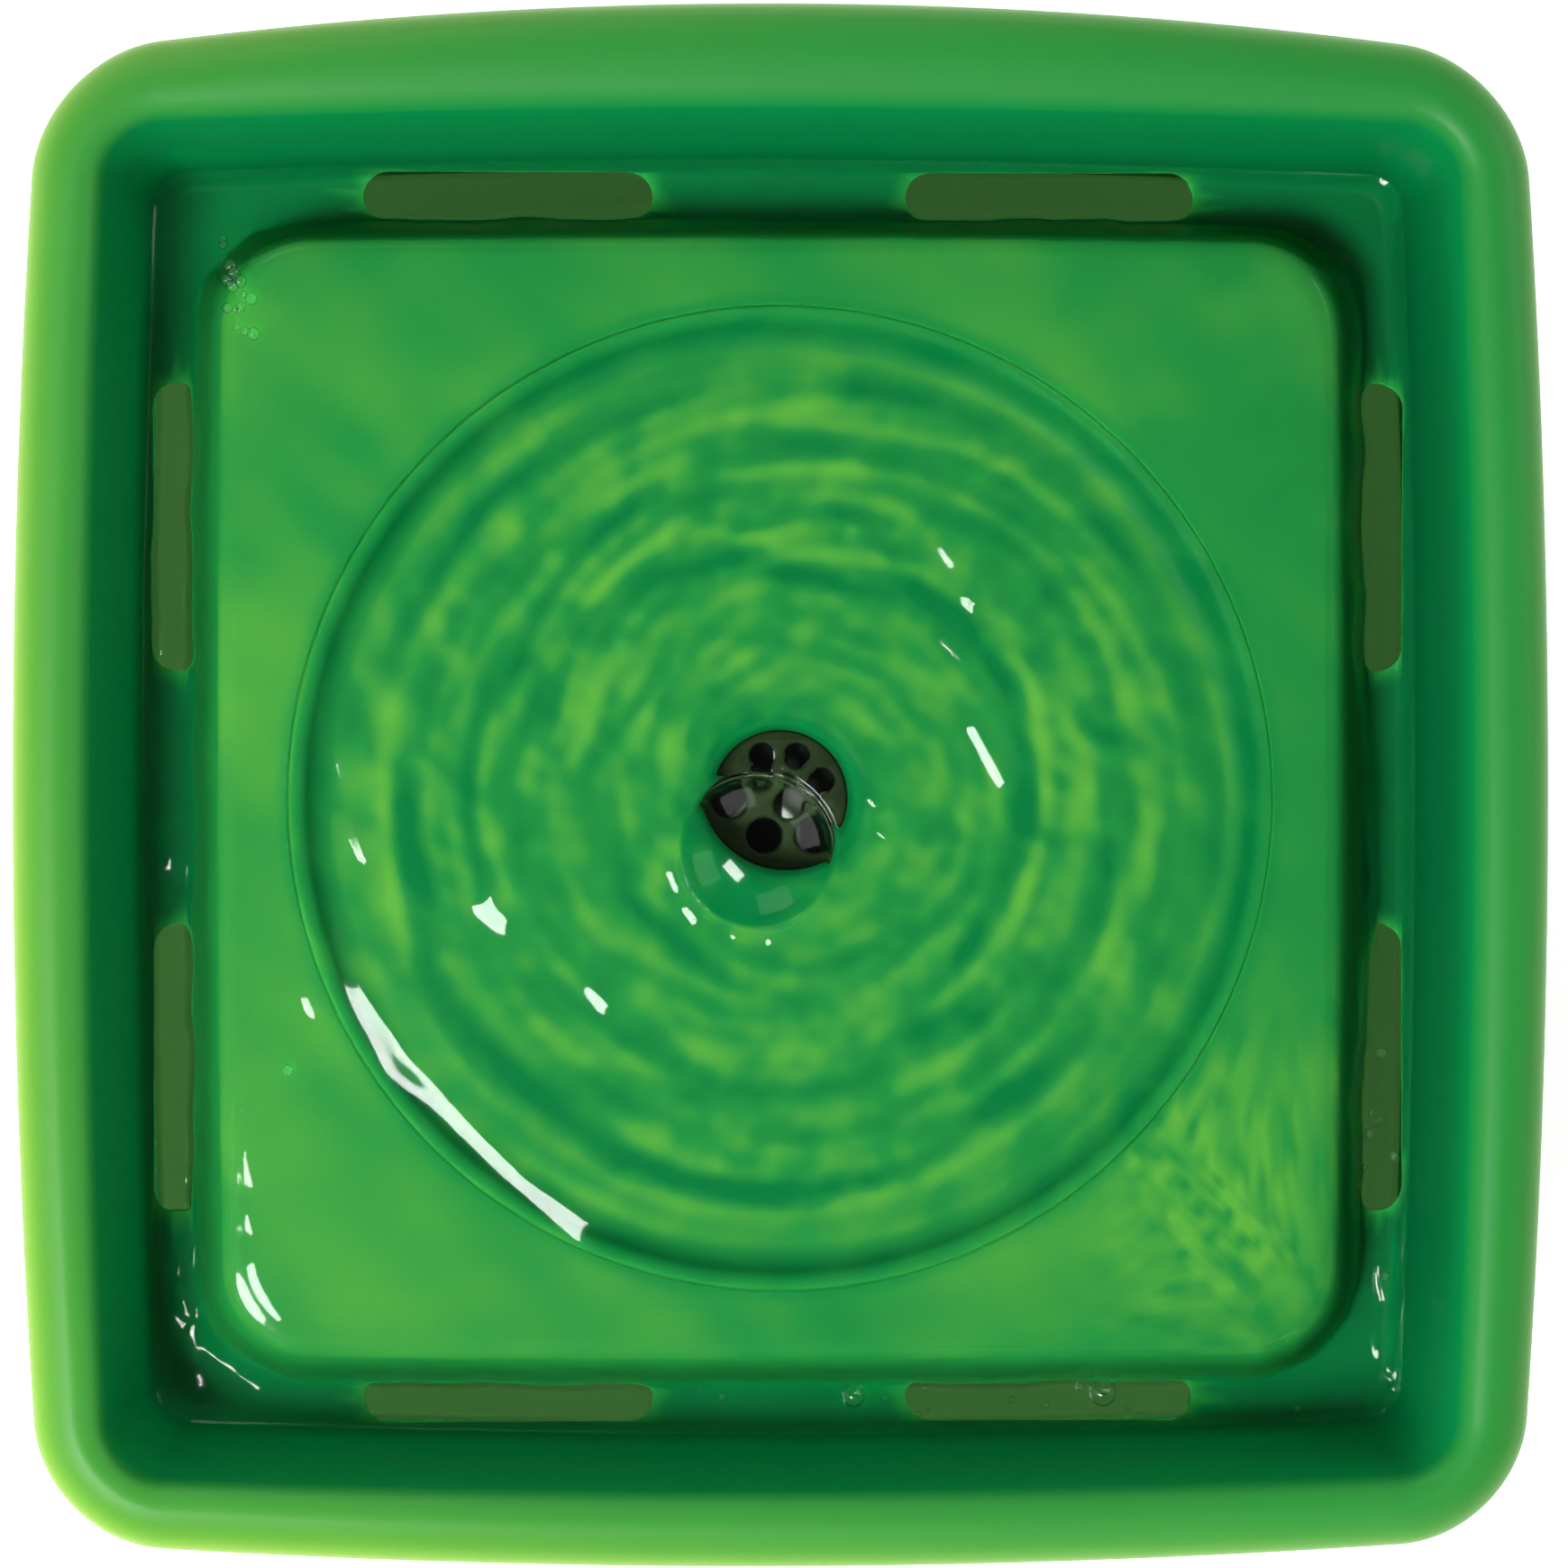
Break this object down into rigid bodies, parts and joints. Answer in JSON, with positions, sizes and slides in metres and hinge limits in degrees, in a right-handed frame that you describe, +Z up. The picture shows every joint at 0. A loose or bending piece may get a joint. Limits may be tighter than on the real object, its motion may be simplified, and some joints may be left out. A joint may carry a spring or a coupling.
{
  "type": "pet drinking fountain",
  "caption": "Square tabletop pet drinking fountain: a green bowl with a round lift-out dish over a grey water tank with filter and pump.",
  "frame": {"origin": "middle of the footprint, on the surface the feet stand on", "axes": "+Z up, +Y towards the back with the power inlet and the wider lip, +X to the right"},
  "size_m": [0.2434, 0.2476, 0.1],
  "materials": {
    "green_plastic": "polished",
    "grey_plastic": "satin",
    "black_plastic": "matte",
    "clear_plastic": "satin",
    "white_plastic": "matte",
    "orange_plastic": "matte",
    "rubber": "matte",
    "silicone": "satin",
    "foam": "open cell",
    "fleece": "needled",
    "carbon": "granular",
    "copper_wire": "enamelled",
    "steel": "satin",
    "ferrite": "ground",
    "resin": "cast",
    "water": "clear"
  },
  "bodies": {
    "base": {"tank": "grey_plastic", "foot_front_left": "rubber", "foot_front_right": "rubber", "foot_back_left": "rubber", "foot_back_right": "rubber", "pump_body": "black_plastic", "stator_core": "steel", "bobbin": "white_plastic", "coil": "copper_wire", "potting": "resin", "rear_bush": "silicone", "front_bush": "silicone", "rotor_shaft": "steel", "volute_cover": "black_plastic", "intake_guard": "black_plastic", "foam_block": "foam", "suction_cup_1": "silicone", "suction_cup_2": "silicone", "suction_cup_3": "silicone", "suction_cup_4": "silicone", "lead_gland": "rubber", "lead": "rubber", "dc_jack": "black_plastic", "jack_pin": "steel", "jack_seal": "rubber", "jack_nut": "steel"},
    "bowl_unit": {"bowl": "green_plastic"},
    "dish_unit": {"dish": "green_plastic", "strainer": "grey_plastic", "filter_cup": "clear_plastic", "cup_gasket": "silicone", "coarse_foam": "foam", "cartridge_frame": "white_plastic", "carbon_bed": "carbon", "fleece_pad": "fleece", "riser_seal": "silicone"},
    "rotor": {"rotor_magnet": "ferrite", "impeller": "white_plastic"},
    "shutter": {"flow_shutter": "orange_plastic"}
  },
  "joints": [
    {"name": "bowl_lift", "type": "slide", "parent": "base", "child": "bowl_unit", "axis": [0, 0, 1], "range_m": [0, 0.08]},
    {"name": "dish_lift", "type": "slide", "parent": "bowl_unit", "child": "dish_unit", "axis": [0, 0, 1], "range_m": [0, 0.06]},
    {"name": "rotor_spin", "type": "hinge", "parent": "base", "child": "rotor", "pos_m": [-0.009, 0.00785, 0.024], "axis": [0, 1, 0], "continuous": true},
    {"name": "shutter_turn", "type": "hinge", "parent": "base", "child": "shutter", "pos_m": [-0.009, -0.01315, 0.024], "axis": [0, 1, 0], "range_deg": [0, 48]}
  ]
}
